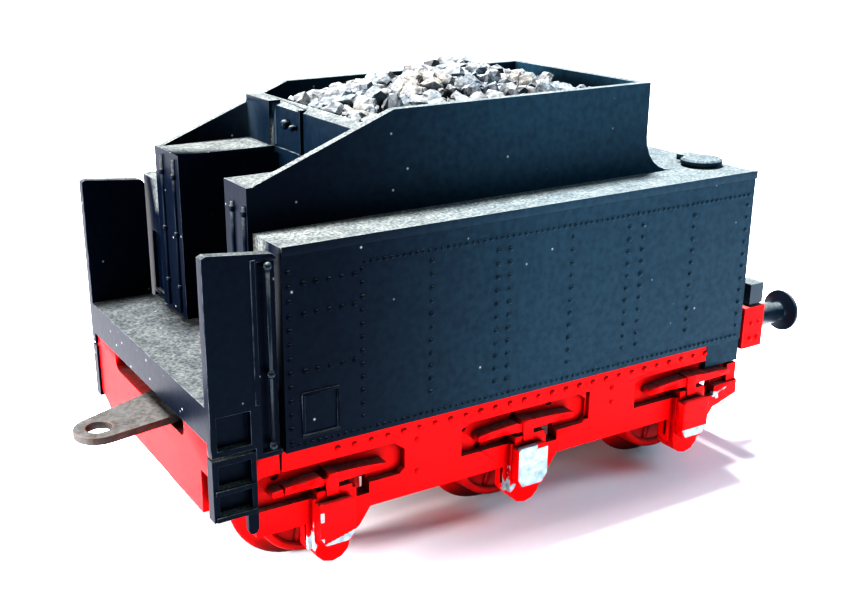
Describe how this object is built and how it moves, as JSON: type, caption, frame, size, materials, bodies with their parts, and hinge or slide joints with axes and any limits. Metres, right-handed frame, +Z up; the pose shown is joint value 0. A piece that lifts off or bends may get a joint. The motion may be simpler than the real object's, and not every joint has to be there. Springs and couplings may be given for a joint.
{
  "type": "model railway tender",
  "caption": "Model of a steam locomotive tender with coal bunker, spoked wheelsets, swinging drawbar and rear coupling, for rails 16.5 mm apart.",
  "frame": {"origin": "on the plane the wheel flanges stand on, under the middle of the whole length and width", "axes": "+X along the length towards the buffers, with the drawbar at -X; +Y to the side that is turned away in the usual view; +Z up"},
  "size_m": [0.0879, 0.034, 0.0455],
  "materials": {
    "black_plastic": "satin, near black, dusty on its upper faces",
    "red_paint": "satin signal red, chipped to bare metal in places",
    "coal": "rough moulded coal",
    "steel": "turned",
    "dull_steel": "dull, browned",
    "lens": "clear moulded lens"
  },
  "bodies": {
    "root": {"tank_shell": "black_plastic", "footplate": "black_plastic", "steps_left": "black_plastic", "steps_right": "black_plastic", "coal_load": "coal", "ballast_weight": "steel", "filler_lid_left": "black_plastic", "filler_lid_right": "black_plastic", "handrail_left": "black_plastic", "handrail_right": "black_plastic", "chassis_frame": "red_paint", "keeper_plate": "black_plastic", "rear_beam": "red_paint", "buffer_left": "black_plastic", "buffer_right": "black_plastic", "lamp_left": "black_plastic", "lamp_right": "black_plastic", "lamp_lens_left": "lens", "lamp_lens_right": "lens", "drawbar_screw": "steel", "coupler_screw": "steel", "body_screw_front": "steel", "body_screw_rear": "steel"},
    "wheelset_1": {"axle_1": "steel", "wheel_1_left": "red_paint", "wheel_1_right": "red_paint"},
    "wheelset_2": {"axle_2": "steel", "wheel_2_left": "red_paint", "wheel_2_right": "red_paint"},
    "wheelset_3": {"axle_3": "steel", "wheel_3_left": "red_paint", "wheel_3_right": "red_paint"},
    "drawbar": {"drawbar": "dull_steel"},
    "coupler": {"coupler_arm": "black_plastic"},
    "coupler_loop": {"coupler_loop": "dull_steel"}
  },
  "joints": [
    {"name": "wheelset_1_spin", "type": "hinge", "parent": "root", "child": "wheelset_1", "pos_m": [-0.0234, 0, 0.0072], "axis": [0, 1, 0], "continuous": true},
    {"name": "wheelset_2_spin", "type": "hinge", "parent": "root", "child": "wheelset_2", "pos_m": [-0.0011, 0, 0.0072], "axis": [0, 1, 0], "continuous": true},
    {"name": "wheelset_3_spin", "type": "hinge", "parent": "root", "child": "wheelset_3", "pos_m": [0.0212, 0, 0.0072], "axis": [0, 1, 0], "continuous": true},
    {"name": "drawbar_swing", "type": "hinge", "parent": "root", "child": "drawbar", "pos_m": [-0.0236, 0, 0.01623], "axis": [0, 0, 1], "range_deg": [-43, 8.5]},
    {"name": "coupler_swing", "type": "hinge", "parent": "root", "child": "coupler", "pos_m": [0.0256, 0, 0.01143], "axis": [0, 0, 1], "range_deg": [-15, 15]},
    {"name": "loop_lift", "type": "hinge", "parent": "coupler", "child": "coupler_loop", "pos_m": [0.0386, 0, 0.01143], "axis": [0, -1, 0], "range_deg": [0, 35]}
  ]
}
